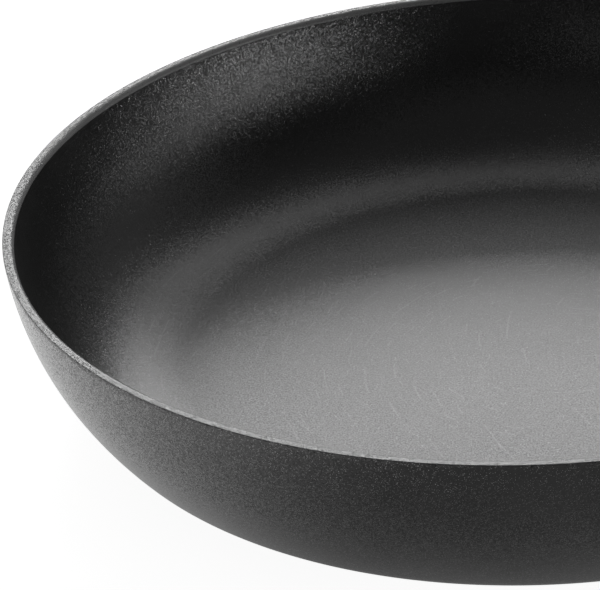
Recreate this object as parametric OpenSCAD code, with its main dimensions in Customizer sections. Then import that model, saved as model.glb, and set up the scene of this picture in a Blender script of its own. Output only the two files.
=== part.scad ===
// Omelette pan, 28 cm, with an induction base and a moulded handle.
// Origin at the centre of the resting face, +Z up, the handle along +X. Millimetres.

/* [Pan] */
// Outer radius at the rim
rim_r = 140; // [130:1:150]
// Height from the resting face to the rim
pan_h = 49; // [46:0.5:54]
// Radius of the arc that the side wall follows
wall_arc_r = 81; // [78:1:86]
// Slope of the side wall at the rim, from the horizontal
rim_slope = 84; // [82:1:86]
// Radius of the edge between the side wall and the base
base_edge_r = 12; // [10:0.5:14]
// Thickness of the side wall
wall_t = 3; // [2.8:0.1:3.4]
// Thickness of the floor at its centre
floor_t = 4.6; // [4.2:0.1:5.4]
// Radius of the curve between the floor and the side wall
floor_curve_r = 42; // [36:1:44]

/* [Rim] */
// Width of the flat on top of the rim
rim_flat_w = 2.3; // [1.8:0.1:2.5]
// Width of the step round the outside of the rim
rim_step_w = 0.3; // [0.2:0.05:0.4]
// Height of the step round the outside of the rim
rim_step_h = 0.5; // [0.4:0.1:0.8]
// Height of the rounded lip inside the rim
lip_h = 1.5; // [1:0.1:2]

/* [Induction disc] */
// Radius of the steel disc in the base
disc_r = 92; // [84:1:94]
// Thickness of the steel disc
disc_t = 0.8; // [0.6:0.1:1]
// Radius of each hole in the disc
disc_hole_r = 3; // [2:0.25:3.5]
// Distance between one ring of holes and the next
disc_ring_step = 15; // [14:0.5:17]
// Number of rings of holes
disc_rings = 5; // [2:1:5]
// Holes that each ring has more than the one inside it
disc_holes_more = 8; // [4:1:10]

/* [Bracket and rivets] */
// Height of the rivets above the resting face
rivet_z = 32; // [30:0.5:34]
// Sideways distance of each rivet from the middle
rivet_y = 15; // [14:0.5:17]
// Radius of a rivet's shank
rivet_r = 3; // [2.5:0.25:3.25]
// Thickness of the bracket's pad on the wall
pad_t = 4; // [3.5:0.25:5]
// Half of the height of the bracket's pad
pad_half_h = 10; // [9.5:0.25:11]
// Width of the neck between the pad and the flame guard
neck_w = 17; // [15:0.5:18]
// Height of the neck
neck_h = 11; // [10:0.5:12]
// Width of the tongue inside the grip
tongue_w = 12; // [10:0.5:13]
// Height of the tongue
tongue_h = 6; // [5:0.25:6.5]

/* [Handle] */
// Angle at which the handle rises from the pan
handle_rise = 18; // [14:1:22]
// Distance from the wall to the end of the grip
handle_l = 208; // [200:1:220]
// Height of the grip's bow above a straight line
grip_bow = 2.4; // [1:0.2:2.6]
// Where the tongue ends inside the grip
tongue_end = 84; // [78:1:92]
// Where the screw crosses the tongue
screw_x = 66; // [60:1:70]
// Radius of the screw's shank
screw_r = 2.45; // [1.95:0.05:2.45]
// Distance from the end of the grip to the hanging hole
hole_back = 27; // [24:1:30]
// Inner radius of the hanging eyelet
eyelet_r = 6.5; // [5.5:0.25:7]

/* [Hidden] */
$fn = 96;
// Fineness of the surfaces of revolution, of the disc's holes, and of the arcs in outlines
turn_fn = 180;
hole_fn = 32;
arc_steps = 14;
edge_steps = 6;
short_steps = 4;
// Clearance between pieces that only rest on each other, and in a hole
gap = 0.04;
hole_gap = 0.05;
eps = 0.01;
// Length of a cut that passes right through a piece, to one side
through = 20;

// Centre of the side wall's arc, and the point where the arc meets the base edge
arc_cx = rim_r - wall_arc_r * sin(rim_slope);
arc_cz = pan_h + wall_arc_r * cos(rim_slope);
base_cx = arc_cx + sqrt(pow(wall_arc_r - base_edge_r, 2) - pow(arc_cz - base_edge_r, 2));
base_join = atan2(base_cx - arc_cx, arc_cz - base_edge_r);
// The same for the inside: the floor's curve rolls into an arc wall_t inside the outer one
inner_arc_r = wall_arc_r - wall_t;
floor_cx = arc_cx + sqrt(pow(inner_arc_r - floor_curve_r, 2)
                         - pow(arc_cz - floor_t - floor_curve_r, 2));
floor_join = atan2(floor_cx - arc_cx, arc_cz - floor_t - floor_curve_r);
lip_z = pan_h - lip_h;
lip_slope = acos((arc_cz - lip_z) / inner_arc_r);
lip_r = arc_cx + inner_arc_r * sin(lip_slope);
flat_in_r = rim_r - rim_step_w - rim_flat_w;

// The wall where the rivets go through it
rivet_slope = acos((arc_cz - rivet_z) / wall_arc_r);
wall_x = arc_cx + wall_arc_r * sin(rivet_slope);
rivet_turn = asin(rivet_y / wall_x);
rivet_head_r = 6.5;
rivet_head_h = 1.9;
// The flat seats for the rivets' heads, measured out from the wall's outer face
inner_seat_depth = 0.28;
outer_seat_depth = 0.5;
inner_seat = -wall_t + inner_seat_depth;
outer_seat = pad_t - outer_seat_depth;
set_head_r = 5.2;
set_head_h = 1.7;
seat_gap = 0.15;

// Number of holes that the rings of the disc start from
disc_holes_first = 4;

// Places along the handle, from the wall at the rivets
neck_end = 18;
// How far the neck runs back into the pad
neck_root = 2;
guard_start = 15;
guard_end = 43;
guard_wall = 0.8;
guard_front = 1.2;
spigot_l = 6;
spigot_in = 3.4;
// How far the spigot's solid runs on into the grip
spigot_root = 2;
grip_start = guard_end + gap;
// Clearance round the tongue in its socket, and past its end
socket_gap = 0.12;
socket_end_gap = 1;
// Lengths of the grip's rounded end and of its blunt tip
grip_end_l = 14;
grip_tip_l = 4;
// Sections of the grip: place, width and height
grip_sections = [
    [grip_start, 27.2, 21.2],
    [72, 24.6, 21],
    [110, 26.6, 20.6],
    [152, 30.6, 17],
    [handle_l - grip_end_l, 30, 15],
    [handle_l - grip_tip_l, 23, 11],
    [handle_l, 13, 5.5]
];
section_power = 2.5;
section_points = 40;
guard_front_size = [21.5, 15.5];
eyelet_x = handle_l - hole_back;
eyelet_wall = 0.8;
eyelet_flange_w = 2.4;
eyelet_flange_r = eyelet_r + eyelet_flange_w;
eyelet_flange_t = 0.9;
eyelet_half = 8.1;
// The screw from below, and the washer under its head
screw_seat = -5.8;
washer_t = 1;
washer_r = 4.1;
washer_slot_w = 0.9;
// Clearance round the screw inside the washer, and in the grip
washer_gap = 0.15;
screw_gap = 0.25;
screw_head_r = 4.25;
screw_head_h = 2.3;
screw_end = 2.6;
counterbore_r = 4.8;
key_r = 1.75;
key_depth = 1.3;

// Points on an arc about [cx, cz]; the slope is 0 at the arc's lowest point
function arc(cx, cz, r, from, to, steps = arc_steps) =
    [for (i = [0:steps]) let (a = from + (to - from) * i / steps)
        [cx + r * sin(a), cz - r * cos(a)]];

// The lip's rounding, from the flat on top down to the inner wall
function lip(steps = edge_steps) =
    [for (i = [0:steps]) let (a = 90 * i / steps)
        [flat_in_r - (flat_in_r - lip_r) * sin(a), lip_z + lip_h * cos(a)]];

// A rounded section, wider than an ellipse of the same width and height
function rounded(w, h) =
    [for (i = [0:section_points - 1]) let (a = 360 * i / section_points)
        [w / 2 * sign(cos(a)) * pow(abs(cos(a)), 2 / section_power),
         h / 2 * sign(sin(a)) * pow(abs(sin(a)), 2 / section_power)]];

// Height of the grip's middle line above the handle's straight axis, and its slope
bow_mid = (grip_start + handle_l) / 2;
bow_half = (handle_l - grip_start) / 2;
function bow(x) = grip_bow * (1 - pow((x - bow_mid) / bow_half, 2));
function bow_slope(x) = atan(-2 * grip_bow * (x - bow_mid) / pow(bow_half, 2));

// Handle axis: origin on the wall at the height of the rivets, X along the handle
module on_handle() {
    translate([wall_x, 0, rivet_z]) rotate([0, -handle_rise, 0]) children();
}

// A thin slice of a rounded section, standing across the handle
module slice(x, w, h, z = 0, tilt = 0) {
    translate([x, 0, z]) rotate([0, -tilt, 0]) rotate([90, 0, 90])
        linear_extrude(eps) polygon(rounded(w, h));
}

// Place of a rivet: Z points out of the wall, along its normal
module at_rivets() {
    for (side = [-1, 1])
        rotate([0, 0, side * rivet_turn])
            translate([wall_x, 0, rivet_z])
                rotate([0, 180 - rivet_slope, 0])
                    children();
}

// Everything inside an arc about the side wall's centre, turned about the pan's axis
module wall_turned(r) {
    rotate_extrude($fn = turn_fn)
        intersection() {
            translate([arc_cx, arc_cz]) circle(r, $fn = turn_fn);
            square([arc_cx + r, pan_h]);
        }
}

module pan_body() {
    color([0.07, 0.07, 0.07])
    difference() {
        rotate_extrude($fn = turn_fn)
            polygon(concat(
                [[0, 0]],
                arc(base_cx, base_edge_r, base_edge_r, 0, base_join, edge_steps),
                arc(arc_cx, arc_cz, wall_arc_r, base_join,
                    acos((arc_cz - pan_h + rim_step_h) / wall_arc_r)),
                [[rim_r - rim_step_w, pan_h - rim_step_h], [rim_r - rim_step_w, pan_h]],
                lip(),
                arc(arc_cx, arc_cz, inner_arc_r, lip_slope, floor_join, short_steps),
                arc(floor_cx, floor_t + floor_curve_r, floor_curve_r, floor_join, 0),
                [[0, floor_t]]));
        translate([0, 0, -eps])
            cylinder(h = disc_t + gap + eps, r = disc_r + hole_gap);
        at_rivets() {
            translate([0, 0, -through]) cylinder(h = through * 2, r = rivet_r + hole_gap);
            translate([0, 0, inner_seat - through])
                cylinder(h = through, r = rivet_head_r + seat_gap);
        }
    }
}

module induction_disc() {
    color([0.72, 0.72, 0.73])
    linear_extrude(disc_t)
        difference() {
            circle(disc_r, $fn = turn_fn);
            for (ring = [1:disc_rings])
                let (count = disc_holes_first + disc_holes_more * ring)
                    for (i = [0:count - 1])
                        rotate(360 * (i + ring / 2) / count)
                            translate([ring * disc_ring_step + disc_hole_r, 0])
                                circle(disc_hole_r, $fn = hole_fn);
        }
}

// Stadium outline of the bracket's pad, seen from the end of the handle
module pad_outline() {
    square([rivet_y * 2, pad_half_h * 2], center = true);
    for (side = [-1, 1])
        translate([side * rivet_y, 0]) circle(pad_half_h);
}

module handle_bracket() {
    color([0.55, 0.55, 0.56])
    difference() {
        union() {
            intersection() {
                wall_turned(wall_arc_r + pad_t);
                translate([wall_x - through, 0, rivet_z]) rotate([90, 0, 90])
                    linear_extrude(through * 2) pad_outline();
            }
            on_handle() {
                translate([-neck_root, -neck_w / 2, -neck_h / 2])
                    cube([neck_end + neck_root, neck_w, neck_h]);
                translate([neck_end - eps, -tongue_w / 2, -tongue_h / 2])
                    cube([tongue_end - neck_end, tongue_w, tongue_h]);
            }
        }
        wall_turned(wall_arc_r + gap);
        at_rivets() {
            translate([0, 0, -pad_t]) cylinder(h = through, r = rivet_r + hole_gap);
            translate([0, 0, outer_seat]) cylinder(h = pad_t, r = set_head_r + seat_gap);
        }
        on_handle()
            translate([screw_x, 0, -tongue_h / 2 - eps])
                cylinder(h = tongue_h + eps * 2, r = screw_r + hole_gap);
    }
}

// A cap of the given radius and height, flat side down
module cap(r, h) {
    ball_r = (r * r + h * h) / (2 * h);
    intersection() {
        translate([0, 0, h - ball_r]) sphere(ball_r);
        cylinder(h = h + eps, r = r);
    }
}

module bracket_rivets() {
    color([0.3, 0.3, 0.31])
    at_rivets() {
        translate([0, 0, inner_seat]) mirror([0, 0, 1]) cap(rivet_head_r, rivet_head_h);
        translate([0, 0, inner_seat - eps])
            cylinder(h = outer_seat - inner_seat + eps * 2, r = rivet_r);
        translate([0, 0, outer_seat]) cap(set_head_r, set_head_h);
    }
}

module flame_guard() {
    wall2 = guard_wall * 2;
    color([0.75, 0.75, 0.76])
    on_handle()
        difference() {
            hull() {
                slice(guard_start, guard_front_size[0], guard_front_size[1]);
                slice(guard_end - eps, grip_sections[0][1], grip_sections[0][2]);
            }
            hull() {
                slice(guard_start + guard_front, guard_front_size[0] - wall2,
                      guard_front_size[1] - wall2);
                slice(guard_end, grip_sections[0][1] - wall2, grip_sections[0][2] - wall2);
            }
            translate([0, -neck_w / 2 - hole_gap, -neck_h / 2 - hole_gap])
                cube([neck_end, neck_w + hole_gap * 2, neck_h + hole_gap * 2]);
        }
}

module grip() {
    color([0.09, 0.09, 0.09])
    on_handle()
        difference() {
            union() {
                for (i = [0:len(grip_sections) - 2])
                    hull()
                        for (s = [grip_sections[i], grip_sections[i + 1]])
                            slice(s[0], s[1], s[2], bow(s[0]), bow_slope(s[0]));
                translate([grip_start - spigot_l, 0, 0]) rotate([90, 0, 90])
                    linear_extrude(spigot_l + spigot_root)
                        polygon(rounded(grip_sections[0][1] - spigot_in,
                                        grip_sections[0][2] - spigot_in));
            }
            translate([0, -tongue_w / 2 - socket_gap, -tongue_h / 2 - socket_gap])
                cube([tongue_end + socket_end_gap, tongue_w + socket_gap * 2, tongue_h + socket_gap * 2]);
            translate([screw_x, 0, -through]) {
                cylinder(h = through, r = screw_r + screw_gap);
                cylinder(h = through + screw_seat, r = counterbore_r);
            }
            at_eyelet() {
                translate([0, 0, -through])
                    cylinder(h = through * 2, r = eyelet_r + eyelet_wall + hole_gap);
                for (side = [0, 1]) mirror([0, 0, side])
                    translate([0, 0, eyelet_half - eyelet_flange_t - gap])
                        cylinder(h = through, r = eyelet_flange_r + hole_gap * 2);
            }
        }
}

module at_eyelet() {
    translate([eyelet_x, 0, bow(eyelet_x)]) rotate([0, -bow_slope(eyelet_x), 0]) children();
}

module grip_screw() {
    head_z = screw_seat - washer_t - gap * 2;
    color([0.7, 0.7, 0.71])
    on_handle()
        translate([screw_x, 0, 0])
            difference() {
                union() {
                    translate([0, 0, head_z - screw_head_h])
                        cylinder(h = screw_head_h, r = screw_head_r);
                    translate([0, 0, head_z - eps]) cylinder(h = screw_end - head_z, r = screw_r);
                }
                translate([0, 0, head_z - screw_head_h - eps])
                    cylinder(h = key_depth, r = key_r, $fn = 6);
            }
}

module lock_washer() {
    color([0.62, 0.62, 0.63])
    on_handle()
        translate([screw_x, 0, screw_seat - washer_t - gap])
            difference() {
                cylinder(h = washer_t, r = washer_r);
                translate([0, 0, -eps]) cylinder(h = washer_t + eps * 2, r = screw_r + washer_gap);
                translate([0, -washer_slot_w / 2, -eps])
                    cube([washer_r + eps, washer_slot_w, washer_t + eps * 2]);
            }
}

module hanging_eyelet() {
    color([0.8, 0.8, 0.8])
    on_handle() at_eyelet()
        difference() {
            union() {
                translate([0, 0, -eyelet_half])
                    cylinder(h = eyelet_half * 2, r = eyelet_r + eyelet_wall);
                for (side = [0, 1]) mirror([0, 0, side])
                    translate([0, 0, eyelet_half - eyelet_flange_t])
                        cylinder(h = eyelet_flange_t, r = eyelet_flange_r);
            }
            cylinder(h = through * 2, r = eyelet_r, center = true);
        }
}

pan_body();
induction_disc();
handle_bracket();
bracket_rivets();
flame_guard();
grip();
grip_screw();
lock_washer();
hanging_eyelet();
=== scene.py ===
import math

import bmesh
import bpy
from mathutils import Matrix, Vector


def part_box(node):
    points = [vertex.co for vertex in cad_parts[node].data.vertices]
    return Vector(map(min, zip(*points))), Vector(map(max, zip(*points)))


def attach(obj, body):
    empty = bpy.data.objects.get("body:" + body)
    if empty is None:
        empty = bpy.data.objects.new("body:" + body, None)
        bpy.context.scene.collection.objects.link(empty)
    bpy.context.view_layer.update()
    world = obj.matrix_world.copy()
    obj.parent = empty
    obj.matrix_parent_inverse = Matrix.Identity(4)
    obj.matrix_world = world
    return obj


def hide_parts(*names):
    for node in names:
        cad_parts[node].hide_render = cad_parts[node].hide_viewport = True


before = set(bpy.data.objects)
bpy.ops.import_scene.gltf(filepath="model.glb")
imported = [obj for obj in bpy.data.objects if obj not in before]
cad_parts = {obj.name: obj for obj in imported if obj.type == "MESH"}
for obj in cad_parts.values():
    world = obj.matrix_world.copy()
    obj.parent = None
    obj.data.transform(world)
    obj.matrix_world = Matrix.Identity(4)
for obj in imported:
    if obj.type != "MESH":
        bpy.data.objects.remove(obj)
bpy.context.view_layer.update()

mm = 0.001
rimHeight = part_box("pan_body")[1].z


def deselectAll():
    if bpy.context.object and bpy.context.object.mode != "OBJECT":
        bpy.ops.object.mode_set(mode="OBJECT")
    bpy.ops.object.select_all(action="DESELECT")


def makeActive(piece):
    deselectAll()
    piece.select_set(True)
    bpy.context.view_layer.objects.active = piece


def editMode(piece, kind="FACE"):
    makeActive(piece)
    bpy.ops.object.mode_set(mode="EDIT")
    bpy.ops.mesh.select_mode(type=kind)


def deleteFaces(piece, wanted):
    # wanted is asked about each face's centre
    editMode(piece)
    bpy.ops.mesh.select_all(action="DESELECT")
    mesh = bmesh.from_edit_mesh(piece.data)
    for face in mesh.faces:
        if wanted(face.calc_center_median()):
            face.select_set(True)
    bmesh.update_edit_mesh(piece.data)
    bpy.ops.mesh.delete(type="FACE")


def cleanNormals(piece, distance=0.004 * mm):
    editMode(piece)
    bpy.ops.mesh.select_all(action="SELECT")
    bpy.ops.mesh.remove_doubles(threshold=distance)
    bpy.ops.mesh.normals_make_consistent(inside=False)
    bpy.ops.object.mode_set(mode="OBJECT")


def applyModifier(piece, kind, **settings):
    makeActive(piece)
    modifier = piece.modifiers.new(kind.title(), kind)
    for key, value in settings.items():
        setattr(modifier, key, value)
    bpy.ops.object.modifier_apply(modifier=modifier.name)


def smoothByAngle(piece, degrees=35):
    makeActive(piece)
    bpy.ops.object.shade_smooth_by_angle(angle=math.radians(degrees))


def cutAway(piece, cutter):
    applyModifier(piece, "BOOLEAN", operation="DIFFERENCE", object=cutter, solver="EXACT")
    bpy.data.objects.remove(cutter)


def dropSlivers(piece, distance=0.001 * mm):
    # takes out the thin leftovers of a cut
    editMode(piece, "VERT")
    bpy.ops.mesh.select_all(action="SELECT")
    bpy.ops.mesh.remove_doubles(threshold=distance)
    bpy.ops.mesh.dissolve_degenerate(threshold=distance)
    bpy.ops.object.mode_set(mode="OBJECT")


def settle(piece, name, materialSlot, material, *nodes, angle=35):
    # names the piece, puts its place in its mesh, hands it to the frame and smooths it
    makeActive(piece)
    bpy.ops.object.transform_apply(location=True, rotation=True, scale=True)
    piece.name = name
    piece.data.name = name
    piece.data.materials.clear()
    piece.data.materials.append(material)
    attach(piece, "root")
    if nodes:
        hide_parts(*nodes)
    smoothByAngle(piece, angle)


def arcPoints(centreR, centreZ, radius, start, end, steps, radiusZ=None):
    # slope 0 is the arc's lowest point; angles in degrees
    points = []
    for i in range(steps + 1):
        slope = math.radians(start + (end - start) * i / steps)
        points.append((centreR + radius * math.sin(slope), centreZ - (radiusZ or radius) * math.cos(slope)))
    return points


def turnOutline(points, steps):
    # one vertex is extruded along the outline in millimetres, then spun about Z
    bpy.ops.mesh.primitive_plane_add(size=mm, location=(0, 0, 0))
    piece = bpy.context.object
    editMode(piece, "VERT")
    bpy.ops.mesh.select_all(action="SELECT")
    bpy.ops.mesh.merge(type="CENTER")
    bpy.ops.transform.translate(value=(points[0][0] * mm, 0, points[0][1] * mm))
    for (r0, z0), (r1, z1) in zip(points, points[1:]):
        step = ((r1 - r0) * mm, 0, (z1 - z0) * mm)
        bpy.ops.mesh.extrude_region_move(TRANSFORM_OT_translate={"value": step})
    bpy.ops.mesh.select_all(action="SELECT")
    bpy.ops.mesh.spin(steps=steps, angle=math.tau, center=(0, 0, 0), axis=(0, 0, 1))
    bpy.ops.object.mode_set(mode="OBJECT")
    cleanNormals(piece)
    return piece


# Camera: the picture shows the left part of the pan from the front, with a slight roll
viewFrom = {
    "distance": 1.0,
    "aboveRim": 0.5001,
    "yaw": -3.5451,
    "pitch": 27.7023,
    "roll": -3.6431,
    "focalPixels": 4193.81,
    "frameWidth": 600,
    "sensor": 36,
    "clipEnd": 50,
}


def addCamera(s):
    bpy.ops.object.camera_add(location=(0, -s["distance"], rimHeight + s["aboveRim"]))
    camera = bpy.context.object
    camera.name = "pictureCamera"
    turn = Matrix.Rotation(math.radians(-s["yaw"]), 3, "Z")
    tip = Matrix.Rotation(math.radians(90 - s["pitch"]), 3, "X")
    roll = Matrix.Rotation(math.radians(s["roll"]), 3, "Z")
    camera.rotation_euler = (turn @ tip @ roll).to_euler()
    camera.data.sensor_width = s["sensor"]
    camera.data.lens = s["focalPixels"] * s["sensor"] / s["frameWidth"]
    camera.data.clip_end = s["clipEnd"]
    bpy.context.scene.camera = camera


addCamera(viewFrom)
print("camera placed")


# Node helpers
def newMaterial(name):
    material = bpy.data.materials.new(name)
    material.use_nodes = True
    nodes = material.node_tree.nodes
    return material, nodes, material.node_tree.links, nodes["Principled BSDF"]


def addNode(nodes, kind, **values):
    node = nodes.new(kind)
    for key, value in values.items():
        setattr(node, key, value)
    return node


def setInputs(node, **values):
    for key, value in values.items():
        node.inputs[key.replace("_", " ")].default_value = value
    return node


def mathNode(nodes, links, operation, *values, kind="ShaderNodeMath"):
    # each value is a number, a tuple or another node's output
    node = addNode(nodes, kind, operation=operation)
    for value, socket in zip(values, node.inputs):
        if isinstance(value, (int, float, tuple)):
            socket.default_value = value
        else:
            links.new(value, socket)
    return node.outputs[0]


def vectorNode(nodes, links, operation, *values):
    return mathNode(nodes, links, operation, *values, kind="ShaderNodeVectorMath")


def splitPlace(nodes, links, place):
    split = addNode(nodes, "ShaderNodeSeparateXYZ")
    links.new(place, split.inputs[0])
    return split.outputs


def combinePlace(nodes, links, *values):
    combined = addNode(nodes, "ShaderNodeCombineXYZ")
    for value, socket in zip(values, combined.inputs):
        links.new(value, socket)
    return combined.outputs[0]


def axisDistance(nodes, links, x, y):
    square = mathNode(nodes, links, "ADD", mathNode(nodes, links, "MULTIPLY", x, x),
                      mathNode(nodes, links, "MULTIPLY", y, y))
    return mathNode(nodes, links, "SQRT", square)


def noiseNode(nodes, links, place, **values):
    node = setInputs(addNode(nodes, "ShaderNodeTexNoise"), **values)
    links.new(place, node.inputs["Vector"])
    return node


def mapRange(nodes, links, value, low, high, outLow=0.0, outHigh=1.0, smooth=True):
    node = addNode(nodes, "ShaderNodeMapRange")
    node.interpolation_type = "SMOOTHSTEP" if smooth else "LINEAR"
    links.new(value, node.inputs["Value"])
    node.inputs["From Min"].default_value = low
    node.inputs["From Max"].default_value = high
    node.inputs["To Min"].default_value = outLow
    node.inputs["To Max"].default_value = outHigh
    return node.outputs["Result"]


def noiseRange(nodes, links, noise, low=0.0, high=1.0, middle=0.4):
    # most of a noise lies in the middle part of its own range
    return mapRange(nodes, links, noise, 0.5 - middle / 2, 0.5 + middle / 2, low, high)


def mixColour(nodes, links, share, first, second):
    # inputs 6 and 7 and output 2 are the colour sockets
    node = addNode(nodes, "ShaderNodeMix", data_type="RGBA")
    links.new(share, node.inputs["Factor"])
    for socket, value in ((node.inputs[6], first), (node.inputs[7], second)):
        if isinstance(value, tuple):
            socket.default_value = (*value, 1)
        else:
            links.new(value, socket)
    return node.outputs[2]


def newGroup(name, inputs, outputs):
    # inputs hold their first numbers, or None for a vector; outputs hold Vector or Float
    group = bpy.data.node_groups.new(name, "ShaderNodeTree")
    for label, value in inputs.items():
        kind = "NodeSocketVector" if value is None else "NodeSocketFloat"
        socket = group.interface.new_socket(name=label, in_out="INPUT", socket_type=kind)
        if value is not None:
            socket.default_value = value
    for label, kind in outputs.items():
        group.interface.new_socket(name=label, in_out="OUTPUT", socket_type="NodeSocket" + kind)
    entry = group.nodes.new("NodeGroupInput")
    last = group.nodes.new("NodeGroupOutput")
    return group, group.nodes, group.links, entry.outputs, last.inputs


def placeGroup(nodes, links, group, place, **values):
    node = nodes.new("ShaderNodeGroup")
    node.node_tree = group
    links.new(place, node.inputs["Place"])
    for key, value in values.items():
        node.inputs[key].default_value = value
    return node


def leanNormal(nodes, links, normal, colour, amount):
    # the normal pushed aside by a colour's three channels, mid grey being no push
    centred = vectorNode(nodes, links, "SUBTRACT", colour, (0.5, 0.5, 0.5))
    lean = vectorNode(nodes, links, "MULTIPLY", centred, amount)
    return vectorNode(nodes, links, "NORMALIZE", vectorNode(nodes, links, "ADD", normal, lean))


def fineGrainGroup():
    # the small pebbled skin of a baked coat, a moulding or a casting, and a slow cloud of tone
    group, nodes, links, given, put = newGroup(
        "fineGrain", {"Place": None, "Normal": None, "Scale": 2400.0, "Tilt": 0.3},
        {"Normal": "Vector", "Tone": "Float"})
    skin = noiseNode(nodes, links, given["Place"], Detail=1.0, Roughness=0.5)
    links.new(given["Scale"], skin.inputs["Scale"])
    links.new(leanNormal(nodes, links, given["Normal"], skin.outputs["Color"], given["Tilt"]), put["Normal"])
    cloud = noiseNode(nodes, links, given["Place"], Scale=45.0, Detail=3.0, Roughness=0.6)
    links.new(cloud.outputs["Fac"], put["Tone"])
    return group


fleckReach = 0.34  # from the middle of a cell, in cells


def sparkleGroup():
    # a gritty skin of small cells, each tilted its own way; some hold a round metal fleck, tilted more
    group, nodes, links, given, put = newGroup(
        "sparkle",
        {"Place": None, "Normal": None, "Cells": 2000.0, "Share": 0.06, "Tilt": 0.5, "Grit": 0.0},
        {"Mask": "Float", "Normal": "Vector"})
    cells = addNode(nodes, "ShaderNodeTexVoronoi")
    links.new(given["Place"], cells.inputs["Vector"])
    links.new(given["Cells"], cells.inputs["Scale"])
    split = addNode(nodes, "ShaderNodeSeparateColor")
    links.new(cells.outputs["Color"], split.inputs["Color"])
    chosen = mathNode(nodes, links, "LESS_THAN", split.outputs["Red"], given["Share"])
    small = mathNode(nodes, links, "LESS_THAN", cells.outputs["Distance"], fleckReach)
    mask = mathNode(nodes, links, "MULTIPLY", chosen, small)
    links.new(mask, put["Mask"])
    amount = mathNode(nodes, links, "MULTIPLY", mask, given["Tilt"])
    amount = mathNode(nodes, links, "ADD", amount, given["Grit"])
    links.new(leanNormal(nodes, links, given["Normal"], cells.outputs["Color"], amount), put["Normal"])
    return group


strokeLines = {
    "wander": 2.5,
    "wanderScale": 18.0,
    "core": 0.2,
    "perRadian": 5.0,
    "shuffle": 7.31,
}


def scratchGroup(s):
    # soft marks left by stirring and wiping: thin arcs round a centre, broken into strokes
    group, nodes, links, given, put = newGroup(
        "scratches", {"Place": None, "Centre": None, "Rings": 500.0, "Width": 0.1, "Share": 0.6},
        {"Mask": "Float"})
    away = vectorNode(nodes, links, "SUBTRACT", given["Place"], given["Centre"])
    x, y = splitPlace(nodes, links, away)[:2]
    distance = axisDistance(nodes, links, x, y)
    wander = noiseNode(nodes, links, given["Place"], Scale=s["wanderScale"], Detail=0.0)
    wavy = mathNode(nodes, links, "ADD", mathNode(nodes, links, "MULTIPLY", distance, given["Rings"]),
                    mathNode(nodes, links, "MULTIPLY", wander.outputs["Fac"], s["wander"]))
    ring = mathNode(nodes, links, "FLOOR", wavy)
    across = mathNode(nodes, links, "ABSOLUTE",
                      mathNode(nodes, links, "SUBTRACT", mathNode(nodes, links, "FRACT", wavy), 0.5))
    across = mathNode(nodes, links, "DIVIDE", across, given["Width"])
    line = mapRange(nodes, links, across, s["core"], 1, 1, 0)
    # each ring is broken up in its own way
    around = mathNode(nodes, links, "MULTIPLY", mathNode(nodes, links, "ARCTAN2", y, x), s["perRadian"])
    ownPart = mathNode(nodes, links, "MULTIPLY", ring, s["shuffle"])
    broken = noiseNode(nodes, links, combinePlace(nodes, links, ownPart, around), Scale=1.0, Detail=1.0)
    shown = mathNode(nodes, links, "GREATER_THAN", broken.outputs["Fac"], given["Share"])
    links.new(mathNode(nodes, links, "MULTIPLY", line, shown), put["Mask"])
    return group


def brushedLinesGroup():
    # the fine lines of brushing: a noise drawn out along the directions whose stretch is small
    group, nodes, links, given, put = newGroup(
        "brushedLines", {"Place": None, "Stretch": None}, {"Height": "Float", "Tone": "Float"})
    drawn = vectorNode(nodes, links, "MULTIPLY", given["Place"], given["Stretch"])
    lines = noiseNode(nodes, links, drawn, Scale=1.0, Detail=3.0, Roughness=0.65)
    links.new(lines.outputs["Fac"], put["Height"])
    bands = noiseNode(nodes, links, drawn, Scale=0.12, Detail=2.0, Roughness=0.6)
    links.new(bands.outputs["Fac"], put["Tone"])
    return group


def turnedLinesGroup():
    # the fine rings of a lathe or a polishing wheel, round the Z axis of the place
    group, nodes, links, given, put = newGroup(
        "turnedLines", {"Place": None, "Pitch": 4000.0}, {"Height": "Float", "Tone": "Float"})
    x, y, z = splitPlace(nodes, links, given["Place"])
    across = mathNode(nodes, links, "MULTIPLY", axisDistance(nodes, links, x, y), given["Pitch"])
    along = mathNode(nodes, links, "MULTIPLY", z, given["Pitch"])
    flat = combinePlace(nodes, links, across, along, mathNode(nodes, links, "ARCTAN2", y, x))
    lines = noiseNode(nodes, links, flat, Scale=1.0, Detail=2.0, Roughness=0.7)
    links.new(lines.outputs["Fac"], put["Height"])
    bands = noiseNode(nodes, links, flat, Scale=0.15, Detail=2.0, Roughness=0.6)
    links.new(bands.outputs["Fac"], put["Tone"])
    return group


groups = {
    "grain": fineGrainGroup(),
    "sparkle": sparkleGroup(),
    "scratches": scratchGroup(strokeLines),
    "brushed": brushedLinesGroup(),
    "turned": turnedLinesGroup(),
}


def objectPlace(nodes):
    return addNode(nodes, "ShaderNodeTexCoord").outputs["Object"]


def smoothNormal(nodes):
    return addNode(nodes, "ShaderNodeNewGeometry").outputs["Normal"]


def placeIn(nodes, links, place, matrix):
    # the same place as seen from the matrix's own origin and axes
    back = matrix.inverted()
    mapping = addNode(nodes, "ShaderNodeMapping", vector_type="POINT")
    mapping.inputs["Location"].default_value = back.to_translation()
    mapping.inputs["Rotation"].default_value = back.to_euler("XYZ")
    links.new(place, mapping.inputs["Vector"])
    return mapping.outputs["Vector"]


def tonedColour(nodes, links, noise, s):
    return mixColour(nodes, links, noiseRange(nodes, links, noise), s["colour"], s["light"])


def bumpNode(nodes, links, height, strength, distance):
    bump = setInputs(addNode(nodes, "ShaderNodeBump"), Strength=strength, Distance=distance * mm)
    links.new(height, bump.inputs["Height"])
    return bump.outputs["Normal"]


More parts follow.
